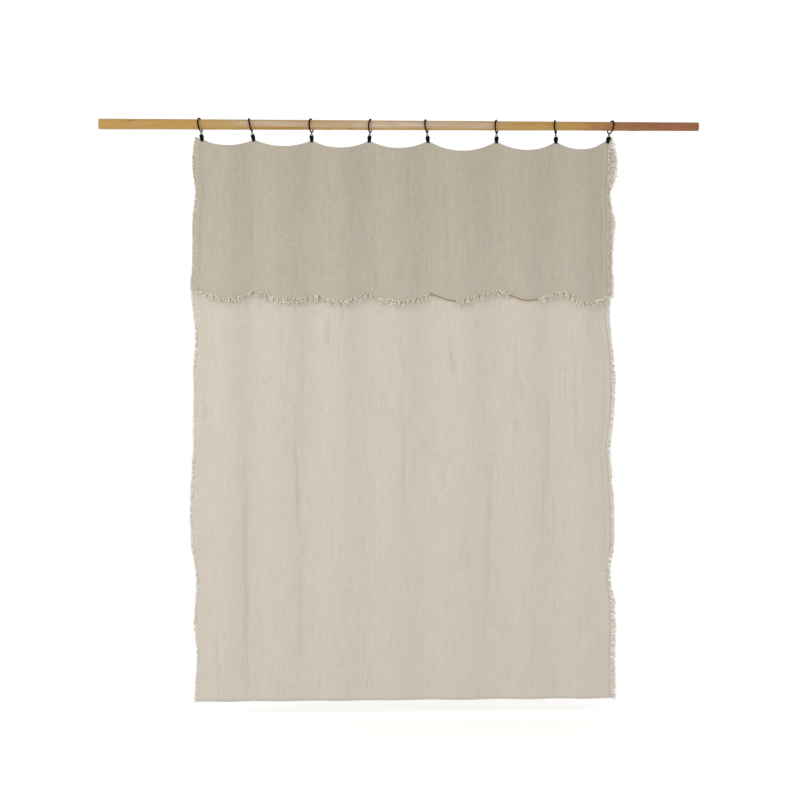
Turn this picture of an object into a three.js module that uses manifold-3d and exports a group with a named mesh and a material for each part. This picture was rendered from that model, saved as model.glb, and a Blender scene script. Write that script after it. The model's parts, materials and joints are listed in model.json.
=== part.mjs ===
// A linen curtain panel with a folded-over top, hung from a tapered wooden pole by eight ring clips.
// Millimetres, +Z up, X along the pole, the front of the curtain towards -Y.
// The origin is on the pole's middle, under the level line that every ring rides on.
import * as THREE from 'three';
import { mergeVertices } from 'three/addons/utils/BufferGeometryUtils.js';
import Module from 'manifold-3d';

const wasm = await Module();
wasm.setup();

// Pole: a natural taper, with its top line level so that the rings slide along it.
const POLE_LENGTH = 1938;
const POLE_RADIUS_LEFT = 17;
const POLE_RADIUS_RIGHT = 13.9;
const POLE_TOP = 15.45;
const POLE_SIDES = 32;

// Ring and its eye.
const RING_RADIUS = 21;
const RING_WIRE = 2.4;
const EYE_RADIUS = 2.8;
const EYE_WIRE = 0.9;
const EYE_SINK = 0.8;

// Brass link between the ring's eye and the clip's lug.
const LINK_RADIUS = 3;
const LINK_WIRE = 1.1;
const LINK_STRAIGHT = 0.8;

// Spring clip, bent from 1 mm sheet.
const HOLE_RADIUS = 1.9;
const LUG_RADIUS = 3.2;
const LUG_THICKNESS = 2;
const SHEET = 1;
const TAB_WIDTH = 13;
const TIP_WIDTH = 9;
const TAB_SPREAD = 6.9;
const PIVOT_SPREAD = 2.9;
const PIN_DROP = 9.75;
const TIP_DROP = 21.25;
const PIN_RADIUS = 1;
const PIN_HEAD_RADIUS = 1.7;
const PIN_HEAD = 0.6;
const EAR_RADIUS = 2.4;
const EAR_HOLE = 1.3;
const FRONT_EAR_X = 3.9;
const REAR_EAR_X = 2.7;
const EAR_SHEET = 0.8;
const SPRING_RADIUS = 2.1;
const SPRING_HALF = 2.4;

// Cloth.
const CLOTH = 0.8;
const FOLD_RADIUS = 0.7;
const EDGE_LEFT = -659;
const EDGE_RIGHT = 685;
const HEM_Z = -1857;
const FLAP_DEPTH = 497;
const GRIP = 7;
const FRINGE = 13;
const FLAP_FRINGE = 20;
const BULGE = 13;
const LAYER_GAP = 3.4;
const GAP = 0.3;

// Each hanger: where its jaws hold the cloth, how far the chain of ring, link and clip leans
// (degrees, top towards the left), and how far its ring is turned round the chain.
const HANGERS = [
  { x: -640, lean: 7, turn: -14 },
  { x: -474, lean: 12, turn: -5 },
  { x: -288, lean: 2, turn: -17 },
  { x: -103, lean: -4, turn: -14 },
  { x: 88, lean: 6, turn: -15 },
  { x: 310, lean: 0, turn: -17 },
  { x: 504, lean: 2, turn: -16 },
  { x: 672, lean: -12, turn: 16 },
];
// How far the top fold hangs below its clips in each span.
const SCALLOPS = [21, 23, 26, 26, 34, 30, 28];

const wood = new THREE.MeshStandardMaterial({ color: 0xbb9a68, roughness: 0.6, metalness: 0 });
const blackSteel = new THREE.MeshStandardMaterial({ color: 0x16161a, roughness: 0.45, metalness: 0.8 });
const brass = new THREE.MeshStandardMaterial({ color: 0xa98b45, roughness: 0.4, metalness: 1 });
const springSteel = new THREE.MeshStandardMaterial({ color: 0x8c8c8c, roughness: 0.35, metalness: 1 });
const linen = new THREE.MeshStandardMaterial({ color: 0xc8c0b0, roughness: 0.95, metalness: 0 });

const curtain = new THREE.Group();

// ---- Solids ----

function toSolid(geometry) {
  const bare = geometry.clone();
  bare.deleteAttribute('normal');
  bare.deleteAttribute('uv');
  const merged = mergeVertices(bare, 1e-4);
  return new wasm.Manifold(new wasm.Mesh({
    numProp: 3,
    vertProperties: Float32Array.from(merged.attributes.position.array),
    triVerts: Uint32Array.from(merged.index.array),
  }));
}

function toGeometry(solid) {
  const mesh = solid.getMesh();
  const geometry = new THREE.BufferGeometry();
  geometry.setAttribute('position', new THREE.BufferAttribute(mesh.vertProperties, 3));
  geometry.setIndex(new THREE.BufferAttribute(mesh.triVerts, 1));
  geometry.computeVertexNormals();
  return geometry;
}

// A plate parallel to the YZ plane, from a shape whose x runs along Y and whose y runs along Z.
function sidePlate(shape, fromX, toX) {
  const plate = new THREE.ExtrudeGeometry(shape, {
    depth: toX - fromX, bevelEnabled: false, curveSegments: 4,
  });
  plate.rotateX(Math.PI / 2);
  plate.rotateZ(Math.PI / 2);
  return plate.translate(fromX, 0, 0);
}

function polygon(points) {
  return new THREE.Shape(points.map(([a, b]) => new THREE.Vector2(a, b)));
}

// ---- Pole ----

function poleRadius(x) {
  const share = x / POLE_LENGTH + 0.5;
  return POLE_RADIUS_LEFT + (POLE_RADIUS_RIGHT - POLE_RADIUS_LEFT) * share;
}

function poleGeometry() {
  const pole = new THREE.CylinderGeometry(
    POLE_RADIUS_RIGHT, POLE_RADIUS_LEFT, POLE_LENGTH, POLE_SIDES, 1);
  pole.rotateZ(-Math.PI / 2);
  const at = pole.attributes.position;
  for (let i = 0; i < at.count; i += 1) {
    at.setZ(i, at.getZ(i) + POLE_TOP - poleRadius(at.getX(i)));
  }
  return pole;
}

// ---- Hangers: every height is measured down from the middle of the ring ----

const EYE_Z = -(RING_RADIUS + RING_WIRE + EYE_RADIUS - EYE_SINK);
const REST = HOLE_RADIUS - LINK_WIRE - 0.25;
const LINK_TOP = EYE_Z - REST;
const LINK_BOTTOM = LINK_TOP - 2 * LINK_RADIUS - LINK_STRAIGHT;
const LUG_Z = LINK_BOTTOM - REST;
const PIN_Z = LINK_BOTTOM - PIN_DROP;
const TIP_Z = LINK_BOTTOM - TIP_DROP;
const TAB_Z = LINK_BOTTOM - 0.55;

function ringGeometry() {
  const ring = new THREE.TorusGeometry(RING_RADIUS, RING_WIRE, 6, 24).rotateY(Math.PI / 2);
  const eye = new THREE.TorusGeometry(EYE_RADIUS, EYE_WIRE, 5, 12).rotateY(Math.PI / 2);
  eye.translate(0, 0, EYE_Z);
  return toGeometry(toSolid(ring).add(toSolid(eye)));
}

// A torus pulled apart along Z, which leaves two straight sides.
function linkGeometry() {
  const segments = 14;
  const link = new THREE.TorusGeometry(LINK_RADIUS, LINK_WIRE, 6, segments);
  link.rotateZ(Math.PI / segments);
  link.rotateX(Math.PI / 2);
  const at = link.attributes.position;
  for (let i = 0; i < at.count; i += 1) {
    at.setZ(i, at.getZ(i) + Math.sign(at.getZ(i)) * LINK_STRAIGHT / 2);
  }
  return link.translate(0, 0, (LINK_TOP + LINK_BOTTOM) / 2);
}

// One jaw's bent strip, on the -Y side: side on from its profile, and tapered from tab to tip.
function jawStrip() {
  const tip = GAP + FOLD_RADIUS + CLOTH / 2;
  const side = toSolid(sidePlate(polygon([
    [-TAB_SPREAD - SHEET, TAB_Z], [-PIVOT_SPREAD - SHEET, PIN_Z], [-tip - SHEET, TIP_Z],
    [-tip, TIP_Z], [-PIVOT_SPREAD, PIN_Z], [-TAB_SPREAD, TAB_Z],
  ]), -TAB_WIDTH / 2, TAB_WIDTH / 2));
  const corner = 2;
  const front = new THREE.ExtrudeGeometry(polygon([
    [-TIP_WIDTH / 2, TIP_Z - 1], [TIP_WIDTH / 2, TIP_Z - 1], [TAB_WIDTH / 2, PIN_Z + corner],
    [TAB_WIDTH / 2, TAB_Z - corner], [TAB_WIDTH / 2 - corner, TAB_Z],
    [corner - TAB_WIDTH / 2, TAB_Z], [-TAB_WIDTH / 2, TAB_Z - corner],
    [-TAB_WIDTH / 2, PIN_Z + corner],
  ]), { depth: 2 * TAB_WIDTH, bevelEnabled: false });
  front.rotateX(Math.PI / 2);
  front.translate(0, TAB_WIDTH, 0);
  return side.intersect(toSolid(front));
}

function ears(innerX) {
  const reach = PIVOT_SPREAD + SHEET / 2;
  const shape = new THREE.Shape();
  shape.moveTo(-reach, PIN_Z - EAR_RADIUS);
  shape.lineTo(0, PIN_Z - EAR_RADIUS);
  shape.absarc(0, PIN_Z, EAR_RADIUS, -Math.PI / 2, Math.PI / 2, false);
  shape.lineTo(-reach, PIN_Z + EAR_RADIUS);
  shape.closePath();
  shape.holes.push(new THREE.Path().absarc(0, PIN_Z, EAR_HOLE, 0, 2 * Math.PI, true));
  const right = toSolid(sidePlate(shape, innerX, innerX + EAR_SHEET));
  return right.add(toSolid(sidePlate(shape, -innerX - EAR_SHEET, -innerX)));
}

function frontJawGeometry() {
  return toGeometry(jawStrip().add(ears(FRONT_EAR_X)));
}

// The plate that hangs the clip from the link, standing between the two tabs.
function lug() {
  const shape = new THREE.Shape();
  shape.absarc(0, LUG_Z, LUG_RADIUS, 0.9, 2 * Math.PI - 1.25, false);
  shape.lineTo(5.4, LUG_Z - 4.6);
  shape.lineTo(6.9, LUG_Z - 1.2);
  shape.closePath();
  shape.holes.push(new THREE.Path().absarc(0, LUG_Z, HOLE_RADIUS, 0, 2 * Math.PI, true));
  return toSolid(sidePlate(shape, -LUG_THICKNESS / 2, LUG_THICKNESS / 2));
}

function rearJawGeometry() {
  const jaw = jawStrip().add(ears(REAR_EAR_X)).mirror([0, 1, 0]);
  return toGeometry(jaw.add(lug()));
}

function turned(profile, sides) {
  const points = profile.map(([radius, along]) => new THREE.Vector2(radius, along));
  return new THREE.LatheGeometry(points, sides).rotateZ(Math.PI / 2).translate(0, 0, PIN_Z);
}

function pinGeometry() {
  const shank = FRONT_EAR_X + EAR_SHEET + GAP;
  const end = shank + PIN_HEAD;
  return turned([
    [0, -end], [PIN_HEAD_RADIUS, -end], [PIN_HEAD_RADIUS, -shank], [PIN_RADIUS, -shank],
    [PIN_RADIUS, shank], [PIN_HEAD_RADIUS, shank], [PIN_HEAD_RADIUS, end], [0, end],
  ], 10);
}

// The outer shape of the coil spring, a sleeve round the pin.
function springGeometry() {
  return turned([
    [EAR_HOLE, -SPRING_HALF], [SPRING_RADIUS, -SPRING_HALF], [SPRING_RADIUS, SPRING_HALF],
    [EAR_HOLE, SPRING_HALF], [EAR_HOLE, -SPRING_HALF],
  ], 10);
}

// How high the middle of a leaning, turned ring is when its wire clears the pole by GAP.
function ringHeight(ringX, lean, turn) {
  const steps = 32;
  let height = -Infinity;
  for (let i = -steps; i <= steps; i += 1) {
    const angle = (i / steps) * Math.PI / 3;
    const point = new THREE.Vector3(0, RING_RADIUS * Math.sin(angle), RING_RADIUS * Math.cos(angle));
    point.applyAxisAngle(new THREE.Vector3(0, 0, 1), turn);
    point.applyAxisAngle(new THREE.Vector3(0, 1, 0), lean);
    const radius = poleRadius(ringX + point.x);
    const reach = radius + RING_WIRE + GAP;
    if (Math.abs(point.y) < reach) {
      const over = Math.sqrt(reach * reach - point.y * point.y);
      height = Math.max(height, POLE_TOP - radius + over - point.z);
    }
  }
  return height;
}

const hangerParts = {
  ring: [ringGeometry(), blackSteel],
  link: [linkGeometry(), brass],
  rear_jaw: [rearJawGeometry(), blackSteel],
  front_jaw: [frontJawGeometry(), blackSteel],
  pin: [pinGeometry(), blackSteel],
  spring: [springGeometry(), springSteel],
};

// Adds one hanger and returns where the cloth's fold sits between its jaws.
function addHanger(number, { x, lean, turn }) {
  const tilt = THREE.MathUtils.degToRad(-lean);
  const yaw = THREE.MathUtils.degToRad(turn);
  const ringX = x + Math.sin(tilt) * -TIP_Z;
  const hanger = new THREE.Group();
  hanger.rotation.y = tilt;
  hanger.position.set(ringX, 0, ringHeight(ringX, tilt, yaw));
  for (const [name, [geometry, material]] of Object.entries(hangerParts)) {
    const mesh = new THREE.Mesh(geometry, material.clone());
    mesh.name = `${name}_${number}`;
    mesh.rotation.z = name === 'ring' ? yaw : 0;
    hanger.add(mesh);
  }
  curtain.add(hanger);
  return { x, z: hanger.position.z + TIP_Z * Math.cos(tilt) + GRIP };
}

// ---- Cloth: one long piece folded over at the top ----

const pole = new THREE.Mesh(poleGeometry(), wood);
pole.name = 'pole';
curtain.add(pole);
const grips = HANGERS.map((hanger, i) => addHanger(i + 1, hanger));

// The span between two clips that holds x, and how far along it x is.
function span(x) {
  let i = 0;
  while (i < grips.length - 2 && x > grips[i + 1].x) i += 1;
  return { i, share: (x - grips[i].x) / (grips[i + 1].x - grips[i].x) };
}

// Height of the top fold.
function foldTop(x) {
  const { i, share } = span(x);
  if (share < 0) return grips[0].z;
  if (share > 1) return grips[grips.length - 1].z;
  const sag = SCALLOPS[i] * 4 * share * (1 - share);
  return grips[i].z + (grips[i + 1].z - grips[i].z) * share - sag;
}

// How far the cloth stands forward: it is held back at each clip and billows between them.
function billow(x) {
  const { share } = span(x);
  if (share < 0 || share > 1) return 0;
  return -BULGE * Math.sin(Math.PI * share) ** 2;
}

// The cloth's columns: at each clip and close beside it, evenly across each span, and at both edges.
function clothColumns() {
  const cells = 4;
  const columns = [EDGE_LEFT];
  for (let i = 0; i < grips.length - 1; i += 1) {
    const [from, to] = [grips[i].x, grips[i + 1].x];
    columns.push(from, from + TIP_WIDTH);
    for (let step = 1; step < cells; step += 1) {
      columns.push(from + (to - from) * step / cells);
    }
    columns.push(to - TIP_WIDTH);
  }
  return [...columns, grips[grips.length - 1].x, EDGE_RIGHT];
}

// How far the flap stands off the cloth behind it, this far below the fold.
function standOff(depth) {
  return LAYER_GAP * (1 - Math.exp(-Math.max(0, depth - 2 * GRIP) / 60));
}

// The back layer, drop 0 at the fold and 1 at the straight hem.
function backPoint(x, drop) {
  const top = foldTop(x) - FOLD_RADIUS;
  return new THREE.Vector3(x, FOLD_RADIUS + billow(x), top + (HEM_Z - top) * drop);
}

// The flap in front of it, drop 0 at the fold and 1 at its lower edge.
function flapPoint(x, drop) {
  const depth = FOLD_RADIUS + (FLAP_DEPTH - FOLD_RADIUS) * drop;
  return new THREE.Vector3(x, billow(x) - FOLD_RADIUS - standOff(depth), foldTop(x) - depth);
}

function foldPoint(x, angle) {
  const y = billow(x) + FOLD_RADIUS * Math.cos(angle);
  return new THREE.Vector3(x, y, foldTop(x) - FOLD_RADIUS * (1 - Math.sin(angle)));
}

// A closed sheet: a box with one cell for each pair of columns and rows, laid on pointAt(column, row).
// Its thickness is set off square to the cloth, in the plane across the pole.
function sheetGeometry(columns, rows, pointAt) {
  const box = new THREE.BoxGeometry(1, 1, 1, columns.length - 1, 1, rows.length - 1);
  const at = box.attributes.position;
  for (let i = 0; i < at.count; i += 1) {
    const column = Math.round((at.getX(i) + 0.5) * (columns.length - 1));
    const row = Math.round((at.getZ(i) + 0.5) * (rows.length - 1));
    const here = pointAt(columns[column], rows[row]);
    const before = pointAt(columns[column], rows[Math.max(0, row - 1)]);
    const after = pointAt(columns[column], rows[Math.min(rows.length - 1, row + 1)]);
    const along = after.sub(before);
    const out = new THREE.Vector3(0, -along.z, along.y).normalize();
    here.addScaledVector(out, -at.getY(i) * CLOTH);
    at.setXYZ(i, here.x, here.y, here.z);
  }
  return box;
}

function addCloth(name, columns, rows, pointAt) {
  const mesh = new THREE.Mesh(sheetGeometry(columns, rows, pointAt), linen.clone());
  mesh.name = name;
  curtain.add(mesh);
}

function even(from, to, count) {
  return Array.from({ length: count + 1 }, (_, i) => from + (to - from) * i / count);
}

// Row 0 is the hem, 1 the back of the fold, 2 its front and 3 the flap's lower edge.
function foldedPoint(x, row) {
  if (row <= 1) return backPoint(x, 1 - row);
  if (row < 2) return foldPoint(x, (row - 1) * Math.PI);
  return flapPoint(x, row - 2);
}

const clothRows = [0, 0.5, 0.985, ...even(1, 2, 4), 2.015, 2.05, ...even(2.15, 3, 3)];
addCloth('panel_cloth', clothColumns(), clothRows, foldedPoint);

// The frayed edges, as thin strips GAP clear of the cloth.
const fringeRows = even(0, 1, 4);
function addSideFringes(name, pointAt) {
  const left = [EDGE_LEFT - FRINGE, EDGE_LEFT - GAP];
  const right = [EDGE_RIGHT + GAP, EDGE_RIGHT + FRINGE];
  addCloth(`${name}_left`, left, fringeRows, (x, row) => pointAt(x, 1 - row));
  addCloth(`${name}_right`, right, fringeRows, (x, row) => pointAt(x, 1 - row));
}
addSideFringes('side_fringe', backPoint);
addSideFringes('flap_side_fringe', flapPoint);

function belowFlap(x, row) {
  const edge = flapPoint(x, 1);
  edge.z -= row * FLAP_FRINGE + (1 - row) * GAP;
  return edge;
}
addCloth('flap_fringe', clothColumns(), [0, 1], belowFlap);

export default curtain;
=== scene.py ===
"""A washed linen curtain with a folded-over top, its clip rings and its wooden pole, as a Blender add-on."""
import json
import math
import random

import bmesh
import bpy
from mathutils import Matrix, Vector, noise


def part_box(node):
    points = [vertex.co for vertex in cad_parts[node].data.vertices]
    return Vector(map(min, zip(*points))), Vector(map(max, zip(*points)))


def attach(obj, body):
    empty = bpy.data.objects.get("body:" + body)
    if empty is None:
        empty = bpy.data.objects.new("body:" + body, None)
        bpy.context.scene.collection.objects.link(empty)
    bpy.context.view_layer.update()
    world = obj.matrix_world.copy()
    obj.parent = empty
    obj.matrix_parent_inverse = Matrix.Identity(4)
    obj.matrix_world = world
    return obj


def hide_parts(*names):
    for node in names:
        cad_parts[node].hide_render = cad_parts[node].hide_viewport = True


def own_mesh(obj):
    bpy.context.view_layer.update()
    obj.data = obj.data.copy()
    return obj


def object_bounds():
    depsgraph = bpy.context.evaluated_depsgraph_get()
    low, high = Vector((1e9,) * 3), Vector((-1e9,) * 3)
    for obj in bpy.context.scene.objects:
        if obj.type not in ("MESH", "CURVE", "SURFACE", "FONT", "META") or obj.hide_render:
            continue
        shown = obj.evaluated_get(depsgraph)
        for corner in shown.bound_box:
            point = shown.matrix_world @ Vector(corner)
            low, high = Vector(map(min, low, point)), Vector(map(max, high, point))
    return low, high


bl_info = {
    "name": "Linen Curtain on Clip Rings",
    "version": (1, 0, 0),
    "blender": (4, 5, 0),
    "location": "View3D > Sidebar > Curtain",
    "description": "Models a folded-over linen curtain panel, its clip rings and its wooden pole",
    "category": "Object",
}

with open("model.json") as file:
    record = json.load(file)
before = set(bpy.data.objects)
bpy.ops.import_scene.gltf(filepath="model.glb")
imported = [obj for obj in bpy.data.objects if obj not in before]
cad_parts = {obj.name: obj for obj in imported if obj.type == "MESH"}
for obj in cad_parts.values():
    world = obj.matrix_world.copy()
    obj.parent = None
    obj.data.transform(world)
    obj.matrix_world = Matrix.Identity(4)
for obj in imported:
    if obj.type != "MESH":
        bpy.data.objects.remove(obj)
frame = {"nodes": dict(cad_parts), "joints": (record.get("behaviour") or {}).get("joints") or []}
CAD_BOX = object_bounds()
JOINTS = {joint["name"]: joint for joint in frame["joints"]}
MM = 0.001
HANGERS = range(1, 9)
LINK_SLACK = 0.55 * MM
PIN_BELOW_LINK = 9.75 * MM
SPRING_WIRE, COIL_RADIUS, COIL_HALF = 0.36 * MM, 1.72 * MM, 1.95 * MM
LEG_OUT, LEG_UP = 4.95 * MM, 6.4 * MM
X_AXIS = Vector((1, 0, 0))
Y_AXIS = Vector((0, 1, 0))
Z_AXIS = Vector((0, 0, 1))

# How far each ring is turned round its chain, in degrees, as its CAD node is.
RING_TURNS = (-14, -5, -17, -14, -15, -17, -16, 16)
# How far the fold hangs below its clips in each span.
SCALLOPS = tuple(sag * MM for sag in (21, 23, 26, 26, 34, 30, 28))
# Where the woven cloth ends at each side: depth below the pole, and x.
LEFT_EDGE = (
    (0.035, -0.655), (0.080, -0.661), (0.125, -0.664), (0.170, -0.658), (0.216, -0.652), (0.306, -0.662),
    (0.420, -0.663), (0.555, -0.668), (0.668, -0.655), (0.804, -0.662), (1.030, -0.662), (1.256, -0.672),
    (1.346, -0.668), (1.482, -0.652), (1.573, -0.660), (1.708, -0.652), (1.857, -0.660),
)
RIGHT_EDGE = (
    (0.035, 0.676), (0.125, 0.675), (0.216, 0.669), (0.306, 0.671), (0.397, 0.670), (0.532, 0.672),
    (0.623, 0.668), (0.759, 0.682), (0.939, 0.682), (1.030, 0.669), (1.120, 0.674), (1.211, 0.679),
    (1.346, 0.682), (1.437, 0.669), (1.573, 0.680), (1.753, 0.678), (1.857, 0.680),
)
# Thread lengths beside the flap's right edge, by depth below the pole.
RIGHT_FLAP_THREADS = (
    (0.035, 0.019), (0.090, 0.026), (0.125, 0.028), (0.170, 0.020), (0.216, 0.011), (0.306, 0.021),
    (0.397, 0.016), (0.532, 0.019),
)
# Height of the flap's lower edge along the curtain.
FLAP_EDGE = (
    (-0.656, -0.530), (-0.612, -0.549), (-0.552, -0.561), (-0.503, -0.550), (-0.473, -0.537),
    (-0.433, -0.550), (-0.384, -0.564), (-0.335, -0.562), (-0.270, -0.553), (-0.236, -0.562),
    (-0.190, -0.571), (-0.152, -0.561), (-0.107, -0.546), (-0.070, -0.560), (-0.018, -0.568),
    (0.021, -0.567), (0.061, -0.558), (0.092, -0.547), (0.136, -0.562), (0.168, -0.570),
    (0.205, -0.563), (0.242, -0.552), (0.317, -0.535), (0.348, -0.548), (0.394, -0.567),
    (0.433, -0.565), (0.481, -0.548), (0.523, -0.538), (0.551, -0.550), (0.578, -0.571),
    (0.617, -0.570), (0.652, -0.564), (0.678, -0.552),
)
# Soft folds left by washing: x, upper end, lower end, sideways drift over its length, and strength.
CREASES = (
    (-0.478, -0.10, -0.52, 0.010, 0.4), (0.150, -0.10, -0.52, 0.020, 0.8),
    (0.560, -0.16, -0.55, 0.016, 0.6),
    (0.025, -0.09, -0.28, 0.006, 0.5), (0.330, -0.12, -0.40, -0.010, 0.5), (-0.084, -0.40, -0.55, 0.010, 0.9),
    (0.664, -0.03, -0.60, 0.002, 0.9), (0.666, -0.55, -1.52, 0.006, 0.5), (-0.640, -0.04, -0.54, 0.000, 0.5),
    (-0.498, -1.06, -1.88, 0.006, 1.0), (-0.334, -0.98, -1.34, 0.014, 1.1),
    (-0.322, -1.30, -1.80, -0.010, 0.6),
    (-0.316, -0.66, -1.06, -0.004, 0.4), (-0.236, -0.60, -0.74, -0.010, 0.8),
    (-0.190, -0.58, -0.66, 0.000, 0.6),
    (0.004, -0.58, -0.88, 0.004, 0.4), (0.008, -0.84, -1.34, 0.008, 0.8), (0.166, -0.68, -0.84, 0.024, 1.2),
    (0.368, -0.58, -1.18, -0.006, 0.6), (0.284, -1.00, -1.66, -0.022, 0.8),
    (0.476, -0.84, -1.22, -0.010, 0.8),
    (0.455, -1.16, -1.34, -0.008, 0.5), (0.566, -0.66, -1.10, 0.004, 0.7), (0.430, -1.46, -1.76, 0.010, 0.5),
    (0.352, -1.50, -1.88, 0.004, 0.4), (0.575, -1.50, -1.80, -0.006, 0.5), (-0.590, -1.62, -1.86, 0.010, 0.6),
)
# Stretches of the flap's edge where the fringe is tucked up behind it.
TUCKS = ((0.096, 0.172), (0.352, 0.436))


# ---- Settings a user would change ----

def length(name, description, default):
    """A length setting in metres."""
    return bpy.props.FloatProperty(
        name=name, description=description, default=default, min=0.0, unit="LENGTH", precision=5)


def colour(name, description, default):
    """A colour setting, in linear light."""
    return bpy.props.FloatVectorProperty(
        name=name, description=description, default=default, size=3, min=0.0, max=1.0, subtype="COLOR")


class CurtainCloth(bpy.types.PropertyGroup):
    """Sizes and colours of the cloth and its frayed edges."""

    thickness: length("Thickness", "Thickness of one layer of linen", 0.7 * MM)
    fold_radius: length("Fold radius", "Radius of the top fold, to the middle of the cloth", 0.7 * MM)
    flap_depth: length("Flap depth", "How far the flap hangs below the fold", 0.495)
    billow: length("Billow", "How far the cloth stands forward between two clips", 13 * MM)
    layer_gap: length("Layer gap", "How far the flap stands off the cloth behind it", 3.4 * MM)
    side_fringe: length("Side fringe", "Mean length of the threads at the side edges", 11 * MM)
    flap_fringe: length("Flap fringe", "Mean length of the locks under the flap", 19 * MM)
    thread: length("Thread", "Radius of one loose thread", 0.46 * MM)
    ply: length("Ply", "Radius of one ply of a twisted lock", 1.1 * MM)
    linen: colour("Linen", "Colour of the washed linen", (0.582, 0.535, 0.460))
    # Painted shade: where the linen lies double it gets this darker colour in place of the light that shines
    # through a single layer.
    shade: colour("Linen shade", "Colour of the linen where it lies double", (0.446, 0.398, 0.322))
    fray: colour("Fray", "Colour of the loose threads", (0.860, 0.790, 0.660))
    # Mixed in along the folds as painted shade together with worn dye lines, and along the fine crumple
    # lines.
    crease: colour("Crease", "Colour of the worn fold lines", (0.400, 0.350, 0.265))
    # Painted shadow: the brown line along the flap's edge where the fringe is tucked up.
    edge_shadow_colour: colour("Raw edge", "Colour of the bare cut edge under the tucked fringe", (0.300, 0.185, 0.050))
    husk: colour("Husk", "Colour of the brown flax husk between the threads", (0.300, 0.235, 0.120))


class CurtainHanger(bpy.types.PropertyGroup):
    """Sizes and colours of one ring, link and clip. Heights count down from the ring's middle."""

    ring_radius: length("Ring radius", "Radius of the ring, to the middle of its wire", 21 * MM)
    ring_wire: length("Ring wire", "Radius of the ring's wire", 2.4 * MM)
    eye_radius: length("Eye radius", "Radius of the eye under the ring", 2.8 * MM)
    eye_wire: length("Eye wire", "Radius of the eye's wire", 0.9 * MM)
    eye_drop: length("Eye drop", "How far the eye's middle is below the ring's", 25.4 * MM)
    link_radius: length("Link radius", "Radius of the link's round ends", 3 * MM)
    link_wire: length("Link wire", "Radius of the link's wire", 1.1 * MM)
    link_straight: length("Link straight", "Length of the link's straight sides", 0.8 * MM)
    tab_width: length("Tab width", "Width of a jaw at its finger tab", 13 * MM)
    tip_width: length("Tip width", "Width of a jaw at its tip", 9 * MM)
    sheet: length("Sheet", "Thickness of the jaws' sheet steel", 0.9 * MM)
    steel: colour("Black steel", "Colour of the blackened steel", (0.002, 0.002, 0.0025))
    brass: colour("Brass", "Colour of the dull brass link", (0.085, 0.062, 0.022))
    spring: colour("Spring", "Colour of the spring wire", (0.30, 0.29, 0.28))


class CurtainPole(bpy.types.PropertyGroup):
    """Colours of the pole's wood along its length."""

    honey: colour("Honey", "Colour of the wood at the thick end", (0.410, 0.236, 0.053))
    # Also a painted highlight: this pale is laid strongest round the pole's mid-height and fades towards its
    # top and bottom.
    pale: colour("Pale", "Colour of the weathered middle", (0.450, 0.340, 0.245))
    # Partly painted highlight: these light patches lie only inside the pale band, so they follow its painted
    # highlight as well as bleaching.
    chalk: colour("Chalk", "Colour of the bleached patches", (0.590, 0.485, 0.400))
    russet: colour("Russet", "Colour of the wood at the thin end", (0.235, 0.056, 0.016))
    # Painted shade: this darker amber lies along the pole's underside over part of its length.
    amber: colour("Amber", "Colour of the resin stain under the pole", (0.330, 0.170, 0.010))
    vein: colour("Vein", "Colour of the dark grain lines", (0.250, 0.130, 0.040))


class CurtainSettings(bpy.types.PropertyGroup):
    """Everything a user would change."""

    cloth: bpy.props.PointerProperty(type=CurtainCloth, name="Cloth", description="The cloth's settings")
    hanger: bpy.props.PointerProperty(type=CurtainHanger, name="Hanger", description="The hangers' settings")
    pole: bpy.props.PointerProperty(type=CurtainPole, name="Pole", description="The pole's settings")


def settings():
    return bpy.context.scene.curtain


# ---- Mesh helpers ----

def add_piece(name, bm, material, body, replaced=()):
    """Makes bm an object that rides on body and stands for the replaced CAD nodes."""
    mesh = bpy.data.meshes.new(name)
    bm.to_mesh(mesh)
    bm.free()
    return add_mesh(name, mesh, material, body, replaced)


def add_mesh(name, mesh, material, body, replaced=()):
    mesh.name = name
    mesh.shade_smooth()
    mesh.materials.clear()
    mesh.materials.append(material)
    piece = bpy.data.objects.new(name, mesh)
    bpy.context.scene.collection.objects.link(piece)
    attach(piece, body)
    if replaced:
        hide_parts(*replaced)
    return piece


def close_up(bm):
    """Merges doubles and turns every face outwards."""
    bmesh.ops.remove_doubles(bm, verts=bm.verts, dist=1e-6)
    bmesh.ops.recalc_face_normals(bm, faces=bm.faces)


def verts_of(geom):
    return [item for item in geom if isinstance(item, bmesh.types.BMVert)]


def linked(verts, kind):
    """What meets at verts: kind is link_edges or link_faces."""
    return list({item for vert in verts for item in getattr(vert, kind)})


def soften_edges(bm, offset, least_angle=0.8, segments=2):
    """Bevels every edge whose faces meet at more than least_angle."""
    sharp = [edge for edge in bm.edges if edge.is_manifold and edge.calc_face_angle(0) > least_angle]
    bmesh.ops.bevel(
        bm, geom=sharp, offset=offset, offset_type="OFFSET", segments=segments, profile=0.5,
        affect="EDGES", material=-1, clamp_overlap=True)


def add_torus(bm, radius, wire, steps, sides, place):
    """A wire ring round the X axis, moved by place."""
    circle = bmesh.ops.create_circle(
        bm, segments=sides, radius=wire, matrix=Matrix.Translation((0, radius, 0)))
    section = circle["verts"] + linked(circle["verts"], "link_edges")
    before = set(bm.verts) - set(circle["verts"])
    bmesh.ops.spin(
        bm, geom=section, cent=(0, 0, 0), axis=X_AXIS, angle=2 * math.pi, steps=steps, use_merge=True)
    made = [vert for vert in bm.verts if vert not in before]
    bmesh.ops.transform(bm, matrix=place, verts=made)


def add_block(bm, low, high):
    """A box between two corners."""
    low, high = Vector(low), Vector(high)
    size = high - low
    place = Matrix.Translation((low + high) / 2) @ Matrix.Diagonal((*size, 1))
    bmesh.ops.create_cube(bm, size=1, matrix=place)


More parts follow.
